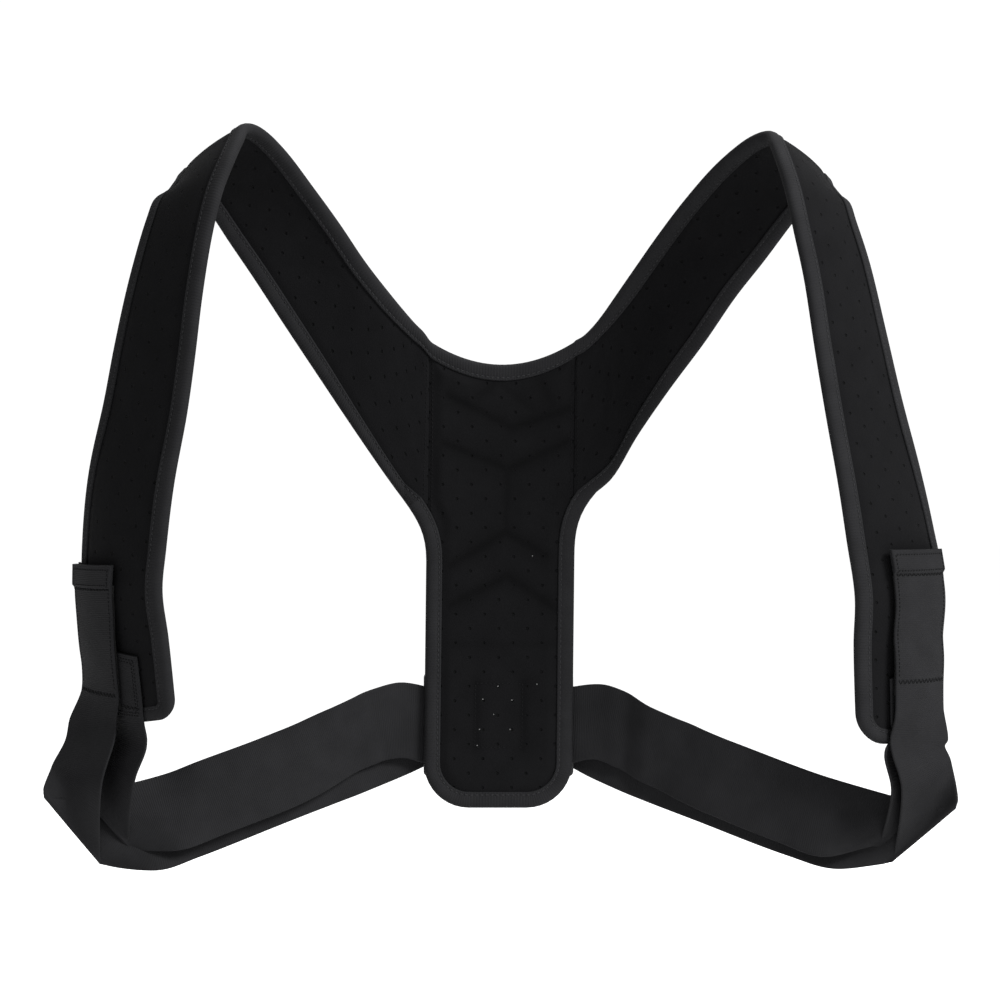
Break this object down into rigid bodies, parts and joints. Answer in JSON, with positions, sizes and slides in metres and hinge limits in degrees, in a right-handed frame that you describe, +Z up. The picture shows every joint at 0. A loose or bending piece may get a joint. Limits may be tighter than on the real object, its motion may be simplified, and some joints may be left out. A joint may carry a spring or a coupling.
{
  "type": "posture corrector",
  "caption": "Soft upper-back posture corrector: padded spine panel, two shoulder straps and elastic bands round to hook patches, in its worn form.",
  "frame": {"origin": "on the spine panel's inner face, at the middle of its width and halfway down its straight length, where it rests on the wearer's upper back", "axes": "+Z up, -Y forward out of the wearer's chest, so the panel is behind and the straps come forward; +X to the side, the wearer's left"},
  "size_m": [0.5873, 0.1506, 0.4796],
  "materials": {
    "neoprene": "matt, finely perforated",
    "binding": "soft ribbed tape",
    "elastic": "fine cross ribs",
    "hook": "fine hooks",
    "webbing": "matt woven",
    "ring": "satin"
  },
  "bodies": {
    "root": {"spine_panel": "neoprene", "edge_binding": "binding", "ring_webbing": "webbing", "strap_left": "neoprene", "strap_right": "neoprene", "band_left": "elastic", "band_right": "elastic", "hook_patch_left": "hook", "hook_patch_right": "hook", "ring_left": "ring", "ring_right": "ring"}
  },
  "joints": []
}
